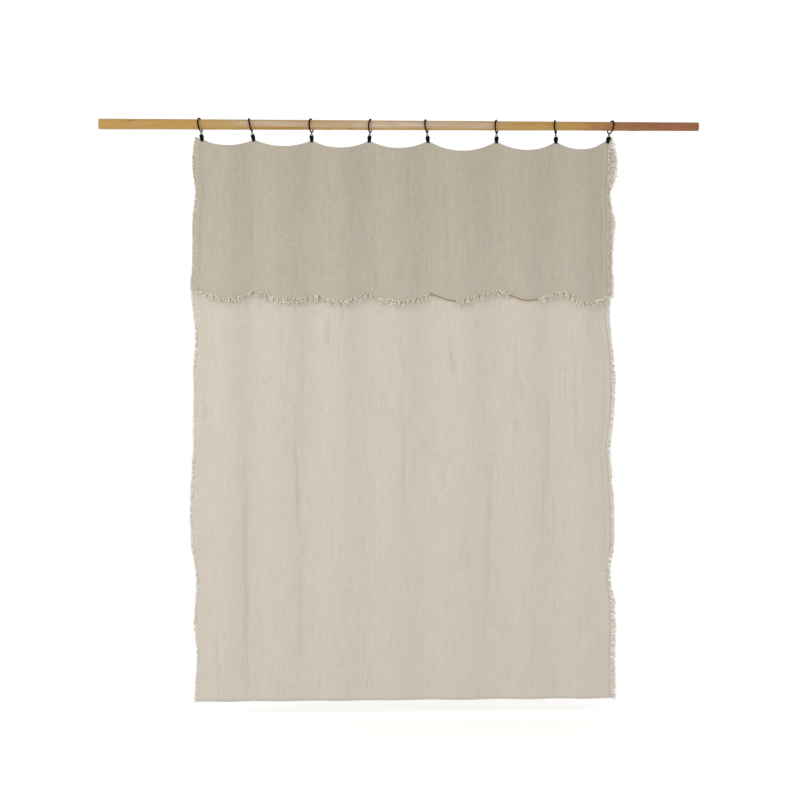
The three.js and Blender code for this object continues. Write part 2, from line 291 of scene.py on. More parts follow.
def add_washer(bm, centre, outer, inner, thick, sides=28):
    """A flat washer across the X axis, with its middle at centre."""
    turn = Matrix.Translation(centre - X_AXIS * thick / 2) @ Matrix.Rotation(math.pi / 2, 4, "Y")
    rims = []
    for radius in (outer, inner):
        rims += bmesh.ops.create_circle(bm, segments=sides, radius=radius, matrix=turn)["verts"]
    rim_edges = linked(rims, "link_edges")
    faces = bmesh.ops.bridge_loops(bm, edges=rim_edges)["faces"]
    grown = bmesh.ops.extrude_face_region(bm, geom=faces, use_keep_orig=True)
    bmesh.ops.translate(bm, vec=X_AXIS * thick, verts=verts_of(grown["geom"]))


def add_rod(bm, start, end, radius, sides=10):
    """A round rod between two points."""
    start, end = Vector(start), Vector(end)
    turn = Z_AXIS.rotation_difference(end - start).to_matrix().to_4x4()
    place = Matrix.Translation((start + end) / 2) @ turn
    bmesh.ops.create_cone(
        bm, cap_ends=True, segments=sides, radius1=radius, radius2=radius,
        depth=(end - start).length, matrix=place)


def smooth_step(low, high, value):
    share = min(1.0, max(0.0, (value - low) / (high - low)))
    return share * share * (3 - 2 * share)


def along(points, place):
    """Reads a smooth curve through (place, amount) points listed in rising places."""
    last = len(points) - 1
    i = min(max(sum(1 for point in points if point[0] <= place) - 1, 0), last - 1)
    slopes = []
    for j in (i, i + 1):
        (x_a, y_a), (x_b, y_b) = points[max(j - 1, 0)], points[min(j + 1, last)]
        slopes.append((y_b - y_a) / (x_b - x_a))
    (x_a, y_a), (x_b, y_b) = points[i], points[i + 1]
    step = x_b - x_a
    t = min(1.0, max(0.0, (place - x_a) / step))
    return (y_a * (1 + 2 * t) * (1 - t) ** 2 + y_b * t * t * (3 - 2 * t)
            + step * (slopes[0] * t * (1 - t) ** 2 - slopes[1] * t * t * (1 - t)))


# ---- Shader helpers ----

class Shader:
    """Adds linked nodes to a material's or group's tree in short lines."""

    def __init__(self, tree):
        self.tree = tree

    def node(self, kind, values=(), **options):
        made = self.tree.nodes.new(kind)
        for name, value in options.items():
            setattr(made, name, value)
        for socket, value in dict(values).items():
            self.feed(made.inputs[socket], value)
        return made

    def feed(self, socket, value):
        if isinstance(value, bpy.types.NodeSocket):
            self.tree.links.new(value, socket)
        elif hasattr(value, "__len__") and len(value) == 3 and socket.type == "RGBA":
            socket.default_value = (*value, 1.0)
        else:
            socket.default_value = value

    def math(self, operation, first, second=0.0):
        made = self.node("ShaderNodeMath", {0: first, 1: second}, operation=operation)
        return made.outputs[0]

    def plus(self, first, second):
        return self.math("ADD", first, second)

    def minus(self, first, second):
        return self.math("SUBTRACT", first, second)

    def times(self, first, second):
        return self.math("MULTIPLY", first, second)

    def bump(self, surface, height, strength, distance):
        """Makes a height show on the surface as small relief."""
        made = self.node("ShaderNodeBump", {"Height": height, "Strength": strength, "Distance": distance})
        self.feed(surface.inputs["Normal"], made.outputs[0])

    def mix(self, share, first, second, blend="MIX"):
        made = self.node("ShaderNodeMix", data_type="RGBA", blend_type=blend, clamp_factor=True)
        for socket, value in ((0, share), (6, first), (7, second)):
            self.feed(made.inputs[socket], value)
        return made.outputs[2]

    def span(self, value, low, high, to_low=0.0, to_high=1.0):
        """Value from low to high, as to_low to to_high, smoothly."""
        made = self.node(
            "ShaderNodeMapRange", {0: value, 1: low, 2: high, 3: to_low, 4: to_high},
            interpolation_type="SMOOTHSTEP")
        return made.outputs[0]

    def noise(self, vector, scale, detail=3.0, rough=0.5, stretch=None):
        if stretch:
            vector = self.node("ShaderNodeMapping", {"Vector": vector, "Scale": stretch}).outputs[0]
        made = self.node(
            "ShaderNodeTexNoise", {"Vector": vector, "Scale": scale, "Detail": detail, "Roughness": rough})
        return made.outputs["Fac"]

    def group(self, tree, **values):
        made = self.node("ShaderNodeGroup", node_tree=tree)
        for name, value in values.items():
            self.feed(made.inputs[name.replace("_", " ")], value)
        return made


def new_group(name, inputs, outputs):
    """A shader node group with named sockets, and its Shader, input node and output node."""
    tree = bpy.data.node_groups.new(name, "ShaderNodeTree")
    kinds = {"f": "NodeSocketFloat", "v": "NodeSocketVector", "c": "NodeSocketColor"}
    for label, kind, default in inputs:
        socket = tree.interface.new_socket(label, in_out="INPUT", socket_type=kinds[kind])
        if default is not None:
            socket.default_value = default
    for label, kind in outputs:
        tree.interface.new_socket(label, in_out="OUTPUT", socket_type=kinds[kind])
    shader = Shader(tree)
    return tree, shader, tree.nodes.new("NodeGroupInput"), tree.nodes.new("NodeGroupOutput")


def new_material(name, **plain):
    """A material, its Shader and its Principled BSDF, whose plain values are set on its own sockets."""
    material = bpy.data.materials.new(name)
    material.use_nodes = True
    material.node_tree.nodes.clear()
    shader = Shader(material.node_tree)
    surface = shader.node("ShaderNodeBsdfPrincipled")
    for socket, value in plain.items():
        surface.inputs[socket.replace("_", " ")].default_value = value
    output = shader.node("ShaderNodeOutputMaterial")
    shader.feed(output.inputs["Surface"], surface.outputs[0])
    return material, shader, surface


def object_coordinates(shader):
    return shader.node("ShaderNodeTexCoord").outputs["Object"]


# ---- Shared effects ----

def crumple_lines(shader, cloth, stretch, scale, strength=1.0):
    """Fine broken lines that run along one way of the cloth."""
    field = shader.noise(cloth, scale, 2.5, 0.55, stretch)
    off = shader.math("ABSOLUTE", shader.minus(field, 0.5))
    line = shader.span(off, 0.002, 0.011, 1.0, 0.0)
    patch = shader.span(shader.noise(cloth, 7.0, 2.0, 0.5), 0.53, 0.66, 0.0, strength)
    return shader.times(line, patch)


def slub_group():
    """Thick and thin yarns: streaks along the warp and the weft, and soft blotches from washing."""
    tree, shader, given, result = new_group(
        "Linen yarns",
        (("Vector", "v", None), ("Pitch", "f", 1.0)),
        (("Tone", "f"), ("Height", "f"), ("Blotch", "f"), ("Hairline", "f")))
    cloth = given.outputs["Vector"]
    warp = shader.noise(cloth, 560.0, 4.0, 0.65, (1.0, 0.06, 1.0))
    weft = shader.noise(cloth, 560.0, 4.0, 0.65, (0.06, 1.0, 1.0))
    long_warp = shader.noise(cloth, 110.0, 3.0, 0.6, (1.0, 0.08, 1.0))
    blotch = shader.noise(cloth, 17.0, 5.0, 0.62, (1.0, 0.55, 1.0))
    speck = shader.noise(cloth, 230.0, 4.0, 0.7, (1.0, 0.7, 1.0))
    cross = shader.plus(warp, weft)
    tone = shader.plus(shader.times(cross, 0.20), shader.times(long_warp, 0.14))
    tone = shader.plus(tone, shader.times(speck, 0.45))
    fleck = shader.span(shader.noise(cloth, 230.0, 1.0, 0.5, (1.0, 0.7, 1.0)), 0.67, 0.76)
    tone = shader.minus(tone, shader.times(fleck, 0.30))
    hairline = crumple_lines(shader, cloth, (1.0, 0.13, 1.0), 8.0)
    hairline = shader.math("MAXIMUM", hairline, crumple_lines(shader, cloth, (0.16, 1.0, 1.0), 11.0, 0.5))
    parts = shader.node("ShaderNodeSeparateXYZ", {"Vector": cloth})
    beat = shader.math("DIVIDE", math.pi, given.outputs["Pitch"])
    waves = []
    for axis in ("X", "Y"):
        bent = shader.plus(parts.outputs[axis], shader.times(cross, 0.0006))
        waves.append(shader.math("SINE", shader.times(bent, beat)))
    weave = shader.times(*waves)
    height = shader.plus(shader.times(weave, 0.35), shader.times(cross, 0.9))
    height = shader.minus(height, shader.times(hairline, 2.2))
    shader.feed(result.inputs["Tone"], tone)
    shader.feed(result.inputs["Height"], height)
    shader.feed(result.inputs["Blotch"], blotch)
    shader.feed(result.inputs["Hairline"], hairline)
    return tree


def wear_group():
    """Handling marks on metal: a soft mask of rubbed spots and a fine uneven height."""
    tree, shader, given, result = new_group(
        "Handling wear", (("Vector", "v", None), ("Amount", "f", 0.5)), (("Mask", "f"), ("Height", "f")))
    spots = shader.noise(given.outputs["Vector"], 420.0, 5.0, 0.7)
    fine = shader.noise(given.outputs["Vector"], 2600.0, 3.0, 0.6)
    least = shader.minus(0.78, shader.times(given.outputs["Amount"], 0.3))
    mask = shader.times(shader.minus(spots, least), 6.0)
    mask = shader.node("ShaderNodeClamp", {"Value": mask}).outputs[0]
    shader.feed(result.inputs["Mask"], mask)
    shader.feed(result.inputs["Height"], fine)
    return tree


# ---- Materials ----

def linen_material(yarns):
    cloth = settings().cloth
    material, shader, surface = new_material(
        "washed_linen", Roughness=0.92, Sheen_Weight=0.1, Sheen_Roughness=0.6, Specular_IOR_Level=0.2)
    flat = shader.node("ShaderNodeUVMap", uv_map="cloth").outputs[0]
    yarn = shader.group(yarns, Vector=flat, Pitch=0.9 * MM)
    height = shader.node("ShaderNodeSeparateXYZ", {"Vector": flat}).outputs["Y"]
    # Painted shade: where the linen lies double, on both layers, it goes towards the darker shade colour in
    # place of the light that shines through one layer. This eases off towards the flap's lower edge.
    flap_from = DROP - cloth.flap_depth
    double = shader.span(height, flap_from - 0.002, flap_from + 0.03)
    paler = shader.span(height, DROP, DROP + cloth.flap_depth, 1.0, 0.80)
    base = shader.mix(shader.times(double, paler), cloth.linen, cloth.shade)
    rosy = shader.span(yarn.outputs["Blotch"], 0.38, 0.62, 0.0, 1.0)
    tint = shader.mix(rosy, (0.983, 1.0, 0.975), (1.006, 0.990, 0.992))
    base = shader.mix(shader.span(height, 0.65, 1.15, 0.4, 1.0), base, tint, "MULTIPLY")
    # The crease attribute paints shade into the washed-in folds together with their worn dye lines, and a
    # painted shadow line along the flap's edge. The hairlines darken the fine crumple lines.
    worn = shader.node("ShaderNodeAttribute", attribute_name="crease").outputs["Fac"]
    # Painted shadow: a brown line at the flap's edge where the fringe is tucked up.
    edge_shadow_share = shader.span(worn, 1.2, 3.0, 0.0, 0.9)
    worn = shader.times(shader.math("MINIMUM", worn, 1.0), 0.28)
    worn = shader.plus(worn, shader.times(yarn.outputs["Hairline"], 0.20))
    base = shader.mix(worn, base, cloth.crease)
    base = shader.mix(edge_shadow_share, base, cloth.edge_shadow_colour)
    spread = shader.span(yarn.outputs["Tone"], 0.30, 0.68, -0.58, 0.42)
    contrast = shader.span(double, 0.0, 1.0, 0.30, 0.42)
    tone = shader.plus(1.0, shader.times(spread, contrast))
    tinted = shader.node("ShaderNodeVectorMath", {0: base, "Scale": tone}, operation="SCALE").outputs[0]
    shader.feed(surface.inputs["Base Color"], tinted)
    shader.bump(surface, yarn.outputs["Height"], 0.6, 0.4 * MM)
    return material


def fray_material():
    cloth = settings().cloth
    material, shader, surface = new_material("frayed_thread", Roughness=0.95, Specular_IOR_Level=0.15)
    place = object_coordinates(shader)
    tuft = shader.noise(place, 160.0, 3.0, 0.6)
    clump = shader.noise(place, 330.0, 2.0, 0.5)
    base = shader.mix(shader.span(tuft, 0.34, 0.56), cloth.linen, cloth.fray)
    base = shader.mix(shader.span(clump, 0.52, 0.63, 0.0, 0.72), base, cloth.husk)
    shader.feed(surface.inputs["Base Color"], base)
    fine = shader.noise(place, 1400.0, 2.0, 0.5)
    shader.bump(surface, fine, 0.5, 0.1 * MM)
    return material


def metal_material(name, base, worn, rough, metallic, wear, amount, shine=0.5):
    material, shader, surface = new_material(name, Metallic=metallic, Specular_IOR_Level=shine)
    worn_at = shader.group(wear, Vector=object_coordinates(shader), Amount=amount)
    mask = worn_at.outputs["Mask"]
    shader.feed(surface.inputs["Base Color"], shader.mix(mask, base, worn))
    shader.feed(surface.inputs["Roughness"], shader.span(mask, 0.0, 1.0, rough, rough - 0.12))
    shader.bump(surface, worn_at.outputs["Height"], 0.2, 0.05 * MM)
    return material


def wood_colour(shader, place, grain):
    """Honey at the thick end, weathered and pale in the middle, and russet at the thin end. The pale is also
    a painted highlight round the pole's mid-height, and a darker amber on part of the underside is painted
    shade.
    """
    pole = settings().pole
    parts = shader.node("ShaderNodeSeparateXYZ", {"Vector": place})
    along_pole, signed = parts.outputs["X"], parts.outputs["Z"]
    drift = shader.plus(along_pole, shader.times(shader.noise(place, 9.0, 3.0), 0.16))
    weathered_and_lit = shader.times(shader.span(drift, -0.62, -0.25), shader.span(drift, 0.52, 0.18))
    patchy = shader.noise(place, 5.0, 4.0, 0.6, (1.0, 9.0, 9.0))
    weathered_and_lit = shader.times(weathered_and_lit, shader.span(patchy, 0.3, 0.6, 0.45, 1.0))
    # Painted highlight: the pale is strongest round the pole's mid-height and fades towards its top and
    # bottom.
    off_middle = shader.math("ABSOLUTE", signed)
    weathered_and_lit = shader.times(weathered_and_lit, shader.span(off_middle, 0.006, 0.013, 1.0, 0.1))
    base = shader.mix(weathered_and_lit, pole.honey, pole.pale)
    base = shader.mix(shader.span(drift, 0.58, 0.86), base, pole.russet)
    # Painted shade: darker amber along the pole's underside over part of its length.
    underside_shade = shader.times(shader.span(drift, -0.46, -0.34), shader.span(drift, -0.18, -0.26))
    underside_shade = shader.times(underside_shade, shader.span(signed, -0.009, -0.012))
    base = shader.mix(underside_shade, base, pole.amber)
    # The light chalk patches are partly bleaching and partly painted highlight, as they lie only inside the
    # pale band.
    chalk_and_highlight = shader.noise(place, 38.0, 4.0, 0.6, (0.12, 1.0, 1.0))
    chalk_and_highlight = shader.times(shader.span(chalk_and_highlight, 0.45, 0.65), weathered_and_lit)
    base = shader.mix(shader.times(chalk_and_highlight, 0.5), base, pole.chalk)
    return shader.mix(shader.span(grain, 0.48, 0.72, 0.0, 0.6), base, pole.vein)


def wood_material():
    material, shader, surface = new_material("peeled_wood")
    place = object_coordinates(shader)
    grain = shader.noise(place, 90.0, 6.0, 0.65, (0.035, 1.0, 1.0))
    fibre = shader.noise(place, 700.0, 3.0, 0.6, (0.03, 1.0, 1.0))
    knots = shader.node(
        "ShaderNodeTexVoronoi", {"Vector": shader.node(
            "ShaderNodeMapping", {"Vector": place, "Scale": (0.55, 3.0, 3.0)}).outputs[0], "Scale": 14.0})
    knot = shader.span(knots.outputs["Distance"], 0.03, 0.15, 1.0, 0.0)
    base = wood_colour(shader, place, grain)
    base = shader.mix(shader.times(knot, 0.7), base, (0.13, 0.06, 0.02))
    base = shader.mix(shader.span(fibre, 0.35, 0.7, 0.0, 0.20), base, (0.60, 0.40, 0.18))
    shader.feed(surface.inputs["Base Color"], base)
    shader.feed(surface.inputs["Roughness"], shader.span(grain, 0.3, 0.7, 0.50, 0.66))
    rise = shader.plus(shader.times(grain, 0.7), shader.times(fibre, 0.3))
    shader.bump(surface, rise, 0.4, 0.4 * MM)
    return material


# ---- Cloth shape ----

def chain_axis(number):
    """The direction up hanger number's chain of clip, link and ring."""
    return Vector(JOINTS[f"ring_turn_{number}"]["axis"]).normalized()


def find_grips():
    """Where each clip's tips hold the fold, from the clip's pin."""
    tip_below_pin = 11.5 * MM
    grip_above_tip = 7 * MM
    grips = []
    for number in HANGERS:
        pin = Vector(JOINTS[f"clip_open_{number}"]["pos_m"])
        tip = pin - chain_axis(number) * tip_below_pin
        grips.append(Vector((tip.x, 0, tip.z + grip_above_tip)))
    return grips


GRIPS = find_grips()
CLOTH_LOW, CLOTH_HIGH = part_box("panel_cloth")
HEM = CLOTH_LOW[2]
CLOTH_LEFT, CLOTH_RIGHT = CLOTH_LOW[0], CLOTH_HIGH[0]
DROP = GRIPS[0].z - HEM


def span_at(x):
    """The span that holds x, and how far along it x is."""
    i = 0
    while i < len(GRIPS) - 2 and x > GRIPS[i + 1].x:
        i += 1
    return i, (x - GRIPS[i].x) / (GRIPS[i + 1].x - GRIPS[i].x)


def fold_top(x):
    """Height of the top fold: it sags between the clips and perks up at both corners."""
    i, share = span_at(x)
    if share < 0:
        return GRIPS[0].z + 0.004 * smooth_step(0.003, 0.015, GRIPS[0].x - x)
    if share > 1:
        return GRIPS[-1].z + 0.003 * smooth_step(0.003, 0.012, x - GRIPS[-1].x)
    sag = SCALLOPS[i] * 4 * share * (1 - share)
    return GRIPS[i].z + (GRIPS[i + 1].z - GRIPS[i].z) * share - sag


def free_share(x, z):
    """0 where a clip pinches the cloth and 1 well away from every clip."""
    nearest = min((Vector((x, 0, z)) - grip).length for grip in GRIPS)
    return smooth_step(0.012, 0.07, nearest)


def crease_at(x, z):
    """How strong the washed-in folds are at a place, from 0 to about 1."""
    total = 0.0
    for middle, top, bottom, drift, strength in CREASES:
        if not bottom < z < top:
            continue
        share = (top - z) / (top - bottom)
        wander = 0.005 * noise.noise(Vector((middle * 30, z * 11, 3.0)))
        width = 0.0038 + 0.0035 * (1 + noise.noise(Vector((middle * 17, z * 6, 8.0)))) * min(1, top - bottom)
        off = (x - middle - drift * (share - 0.5) - wander) / width
        if abs(off) < 3.5:
            fade = math.sin(math.pi * share) ** 0.8
            total += strength * fade * math.exp(-off * off)
    return total


def ripple(x, z):
    """Soft upright waves and the crumple of washed linen."""
    broad = noise.noise(Vector((x * 7.5, z * 1.3, 1.7))) * 4.6
    upright = noise.noise(Vector((x * 20, z * 4.0, 5.1))) * 1.5
    crumple = noise.fractal(Vector((x * 40, z * 22, 9.4)), 0.9, 2.1, 3) * 0.8
    return (broad + upright + crumple) * MM


def stand_forward(x, z):
    """How far the cloth is in front of the pole's axis, before the flap's own stand-off."""
    _, share = span_at(x)
    held = 0.0 if share < 0 or share > 1 else math.sin(math.pi * share) ** 2
    lower = 1 - 0.45 * smooth_step(-0.3, -1.6, z)
    free = free_share(x, z)
    folds = 3.2 * MM * min(1.2, crease_at(x, z))
    return -settings().cloth.billow * held * lower + (ripple(x, z) + folds) * free


def stand_off(depth):
    cloth = settings().cloth
    return cloth.layer_gap * (1 - math.exp(-max(0.0, depth - 0.014) / 0.06))


def edge_shift(x, z):
    """The side edges waver, and the waver fades out towards the middle of the cloth."""
    reach = 0.10
    left = (along(LEFT_EDGE, -z) - CLOTH_LEFT) * (1 - smooth_step(0, reach, x - CLOTH_LEFT))
    right = (along(RIGHT_EDGE, -z) - CLOTH_RIGHT) * (1 - smooth_step(0, reach, CLOTH_RIGHT - x))
    return left + right


def back_point(x, z):
    """A point of the long back layer at height z."""
    return Vector((x + edge_shift(x, z), settings().cloth.fold_radius + stand_forward(x, z), z))


def flap_point(x, depth):
    """A point of the flap, depth below the fold."""
    cloth = settings().cloth
    z = fold_top(x) - depth
    own = 0.8 * MM * noise.noise(Vector((x * 16, z * 5, 21.0))) * smooth_step(0.03, 0.2, depth)
    y = stand_forward(x, z) - cloth.fold_radius - stand_off(depth) + own
    return Vector((x + edge_shift(x, z), y, z))


def flap_edge(x):
    """Depth of the flap's lower edge below the fold."""
    return fold_top(x) - along(FLAP_EDGE, x)


def folded_point(x, row):
    """Row 0 is the hem, 1 the back of the fold, 2 its front and 3 the flap's edge."""
    radius = settings().cloth.fold_radius
    top = fold_top(x) - radius
    if row <= 1:
        return back_point(x, HEM + (top - HEM) * row)
    if row < 2:
        angle = (row - 1) * math.pi
        middle = back_point(x, top)
        return middle + Vector((0, radius * (math.cos(angle) - 1), radius * math.sin(angle)))
    return flap_point(x, radius + (flap_edge(x) - radius) * (row - 2))


def cloth_rows():
    """Rows close together at the fold, where the cloth turns tightly."""
    back = [i / 110 * 0.99 for i in range(110)]
    neck = [0.99, 0.994, 0.997, 0.999]
    fold = [1 + i / 8 for i in range(9)]
    flap = [2.002, 2.006, 2.014, 2.03] + [2.05 + 0.94 * i / 63 for i in range(64)] + [2.994, 3.0]
    return back + neck + fold + flap


def cloth_columns(count=206):
    """Even columns, drawn in a little towards each clip."""
    columns = []
    for i in range(count + 1):
        x = CLOTH_LEFT + (CLOTH_RIGHT - CLOTH_LEFT) * i / count
        near = min(GRIPS, key=lambda grip: abs(grip.x - x))
        off = x - near.x
        columns.append(near.x + off * (1 - 0.45 * math.exp(-(off / 0.022) ** 2)))
    columns[0], columns[-1] = CLOTH_LEFT, CLOTH_RIGHT
    return columns


def painted_edge_shadow(x, row):
    """Painted shadow along the flap's lower edge: a dark line under the locks, and a brown one where the
    fringe is tucked up.
    """
    return (0.5 + 2.7 * tucked(x)) * smooth_step(2.989, 2.996, row)


def build_cloth():
    rows, columns = cloth_rows(), cloth_columns()
    bm = bmesh.new()
    worn = bm.verts.layers.float.new("crease")
    bmesh.ops.create_grid(bm, x_segments=len(columns) - 1, y_segments=len(rows) - 1, size=0.5)
    flat = {}
    for vert in bm.verts:
        column = round((vert.co.x + 0.5) * (len(columns) - 1))
        row = round((vert.co.y + 0.5) * (len(rows) - 1))
        x, r = columns[column], rows[row]
        up = DROP * min(r, 1.0) + settings().cloth.flap_depth * max(r - 2, 0.0)
        flat[vert] = (x, up)
        vert.co = folded_point(x, r)
        # The crease attribute holds painted shade with the worn dye lines in the folds, and painted shadow
        # along the flap's lower edge.
        vert[worn] = min(1.0, crease_at(x, vert.co.z)) + painted_edge_shadow(x, r)
    layer = bm.loops.layers.uv.new("cloth")
    for face in bm.faces:
        for loop in face.loops:
            loop[layer].uv = flat[loop.vert]
    bmesh.ops.recalc_face_normals(bm, faces=bm.faces)
    return bm


# ---- Frayed edges ----

class Threads:
    """A bundle of thin threads, gathered as one curve and then made a mesh."""

    def __init__(self, name, radius):
        self.curve = bpy.data.curves.new(name, "CURVE")
        self.curve.dimensions = "3D"
        self.curve.bevel_depth = radius
        self.curve.bevel_resolution = 0
        self.curve.use_fill_caps = True

    def add(self, points, taper=0.45):
        spline = self.curve.splines.new("POLY")
        spline.points.add(len(points) - 1)
        last = len(points) - 1
        for i, point in enumerate(points):
            spline.points[i].co = (*point, 1.0)
            spline.points[i].radius = 1 - (1 - taper) * i / last

    def to_mesh(self):
        holder = bpy.data.objects.new("threads", self.curve)
        bpy.context.scene.collection.objects.link(holder)
        graph = bpy.context.evaluated_depsgraph_get()
        mesh = bpy.data.meshes.new_from_object(holder.evaluated_get(graph))
        bpy.data.objects.remove(holder)
        bpy.data.curves.remove(self.curve)
        return mesh


def curl(start, direction, size, rng, steps, curliness):
    """Points of one thread that leaves start and curls as it goes."""
    side = direction.cross(Y_AXIS).normalized()
    phase = rng.uniform(0, 2 * math.pi)
    turns = rng.uniform(0.6, 1.5)
    points = []
    for i in range(steps + 1):
        share = i / steps
        angle = phase + turns * 2 * math.pi * share
        sway = curliness * size * share
        offset = side * math.sin(angle) * sway + Y_AXIS * math.cos(angle) * sway * 0.6
        points.append(start + direction * size * share + offset - Z_AXIS * size * 0.18 * share * share)
    return points


def side_threads(name, point_at, top, bottom, outward, size_at, seed, pitch=0.62 * MM):
    """Threads that stand out of a side edge in matted tufts."""
    cloth = settings().cloth
    rng = random.Random(seed)
    threads = Threads(name, cloth.thread)
    count = int((top - bottom) / pitch)
    for i in range(count):
        z = top - (top - bottom) * (i + rng.random()) / count
        tuft = noise.noise(Vector((z * 120, outward, seed)))
        wave = noise.noise(Vector((z * 19, outward, seed + 0.5)))
        size = size_at(z) * (0.94 + 0.28 * tuft + 0.22 * wave + rng.uniform(-0.24, 0.08))
        slope = 0.5 * noise.noise(Vector((z * 80, 4.0, seed))) + rng.uniform(-0.50, 0.35)
        slope += 0.9 * smooth_step(top - 0.03, top, z)
        direction = Vector((outward, rng.uniform(-0.18, 0.18), slope)).normalized()
        start = point_at(z) - X_AXIS * outward * rng.uniform(0.8, 3.0) * MM
        start.y += rng.uniform(-0.5, 0.5) * MM
        threads.add(curl(start, direction, max(size, 3.5 * MM), rng, 5, 0.30), 0.75)
    return threads.to_mesh()


def tucked(x):
    """1 where the flap's fringe is folded up out of sight."""
    fade = 0.012
    return max(
        smooth_step(low - fade, low, x) * (1 - smooth_step(high, high + fade, x)) for low, high in TUCKS)


def flap_threads():
    """Twisted locks of threads along the flap's lower edge."""
    cloth = settings().cloth
    rng = random.Random(41)
    threads = Threads("flap_fringe_threads", cloth.ply)
    pitch = 6.8 * MM
    count = int((CLOTH_RIGHT - CLOTH_LEFT) / pitch)
    for i in range(count):
        x = CLOTH_LEFT + (i + rng.uniform(0.25, 0.75)) * pitch
        lean = 1.5 * noise.noise(Vector((x * 17, 8.0, 2.0))) + rng.uniform(-0.5, 0.5)
        hide = tucked(x)
        if hide > 0.7:
            continue
        size = cloth.flap_fringe * rng.uniform(0.85, 1.3) * (1 - 0.86 * hide)
        direction = Vector((lean, -0.16 + 0.4 * hide, -1)).normalized()
        twist = rng.choice((-1, 1)) * rng.uniform(0.9, 1.8)
        phase = rng.uniform(0, 2 * math.pi)
        for ply in range(4):
            foot = x + (ply - 1.5) * pitch / 4
            start = flap_point(foot, flap_edge(foot) - 1.5 * MM) - Y_AXIS * 0.5 * MM
            reach = size * rng.uniform(0.75, 1.1)
            threads.add(lock(start, x, direction, reach, twist, phase + ply * math.pi / 2, rng), 0.7)
    return threads.to_mesh()


def lock(start, middle, direction, size, twist, phase, rng, steps=7):
    """One ply of a lock: it draws in to the lock's middle and winds round it."""
    side = direction.cross(Y_AXIS).normalized()
    pull = middle - start.x
    hook = rng.uniform(-0.35, 0.35)
    points = []
    for i in range(steps + 1):
        share = i / steps
        angle = phase + twist * 2 * math.pi * share
        gather = smooth_step(0.0, 0.35, share)
        width = (1.25 * gather - 0.3 * share) * MM
        offset = side * (math.sin(angle) * width + hook * size * share * share)
        offset += Y_AXIS * (math.cos(angle) * width - 1.4 * MM * gather)
        point = start + direction * size * share + X_AXIS * pull * gather + offset
        points.append(point + side * rng.uniform(-0.2, 0.2) * MM)
    return points


# ---- Pole ----

def build_pole():
    """A turned stick with a natural taper, its top line level, faint flats and two healed knots."""
    low, high = (Vector(corner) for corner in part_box("pole"))
    radii = []
    for end in (low.x, high.x):
        ring = [v.co for v in frame["nodes"]["pole"].data.vertices if abs(v.co.x - end) < MM]
        radii.append((max(co.z for co in ring) - min(co.z for co in ring)) / 2)
    bm = bmesh.new()
    stick = high.x - low.x
    bmesh.ops.create_cone(
        bm, cap_ends=True, segments=72, radius1=radii[0], radius2=radii[1], depth=stick,
        matrix=Matrix.Rotation(math.pi / 2, 4, "Y"))
    long_edges = [edge for edge in bm.edges if abs((edge.verts[0].co - edge.verts[1].co).x) > stick / 2]
    bmesh.ops.subdivide_edges(bm, edges=long_edges, cuts=150, use_grid_fill=True)
    for face in [face for face in bm.faces if len(face.verts) > 4]:
        bmesh.ops.inset_region(bm, faces=[face], thickness=1.2 * MM, depth=0.9 * MM, use_even_offset=True)
    for vert in bm.verts:
        x = vert.co.x
        share = (x - low.x) / stick
        radius = radii[0] + (radii[1] - radii[0]) * min(1.0, max(0.0, share))
        angle = math.atan2(vert.co.z, vert.co.y)
        top_side = max(0.0, math.sin(angle))
        dent = noise.noise(Vector((x * 5, 2.2 * math.cos(angle), 2.2 * math.sin(angle)))) + 0.6
        for knot, turn in ((-0.235, -1.4), (0.758, -1.15), (0.42, -2.2)):
            near = math.exp(-((x - knot) / 0.012) ** 2 - (2.2 * (angle - turn)) ** 2)
            dent -= 1.6 * near
        shrink = 0.55 * MM * dent * (1 - top_side)
        out = Vector((0, math.cos(angle), math.sin(angle)))
        vert.co -= out * min(shrink, vert.co.yz.length)
        vert.co.z += high.z - radius
        vert.co.z -= 0.15 * MM
    close_up(bm)
    return bm


# ---- Hanger parts, in the chain's own coordinates ----

def place_hanger(number):
    """Moves a part from the chain's coordinates, from the ring's middle, to its place."""
    axis = chain_axis(number)
    eye = Vector(JOINTS[f"ring_turn_{number}"]["pos_m"])
    middle = eye + axis * settings().hanger.eye_drop
    return Matrix.Translation(middle) @ Matrix.Rotation(math.atan2(axis.x, axis.z), 4, "Y")


def build_ring():
    part = settings().hanger
    bm = bmesh.new()
    add_torus(bm, part.ring_radius, part.ring_wire, 72, 14, Matrix())
    add_torus(bm, part.eye_radius, part.eye_wire, 28, 10, Matrix.Translation((0, 0, -part.eye_drop)))
    close_up(bm)
    return bm


def link_heights():
    """Heights of the middle of the link's wire, at its top and its bottom."""
    part = settings().hanger
    top = -part.eye_drop - LINK_SLACK
    return top, top - 2 * part.link_radius - part.link_straight


def pin_height():
    _, bottom = link_heights()
    return bottom - PIN_BELOW_LINK


def build_link():
    part = settings().hanger
    top, bottom = link_heights()
    bm = bmesh.new()
    turn = Matrix.Rotation(math.pi / 2, 4, "Z") @ Matrix.Rotation(math.pi / 36, 4, "X")
    add_torus(bm, part.link_radius, part.link_wire, 36, 10, turn)
    for vert in bm.verts:
        vert.co.z += math.copysign(part.link_straight / 2, vert.co.z) + (top + bottom) / 2
    close_up(bm)
    return bm


def jaw_profile(share):
    """The inner face of the front jaw, side on: out from the chain, and height. 0 is the tab's end."""
    _, bottom = link_heights()
    points = (
        (6.9, -0.55), (5.1, -4.7), (2.95, -9.4), (2.55, -11.2), (2.0, -15.6), (1.42, -19.4), (1.75, -21.25))
    place = share * (len(points) - 1)
    i = min(int(place), len(points) - 2)
    part = place - i
    (out_a, down_a), (out_b, down_b) = points[i], points[i + 1]
    return (out_a + (out_b - out_a) * part) * MM, bottom + (down_a + (down_b - down_a) * part) * MM


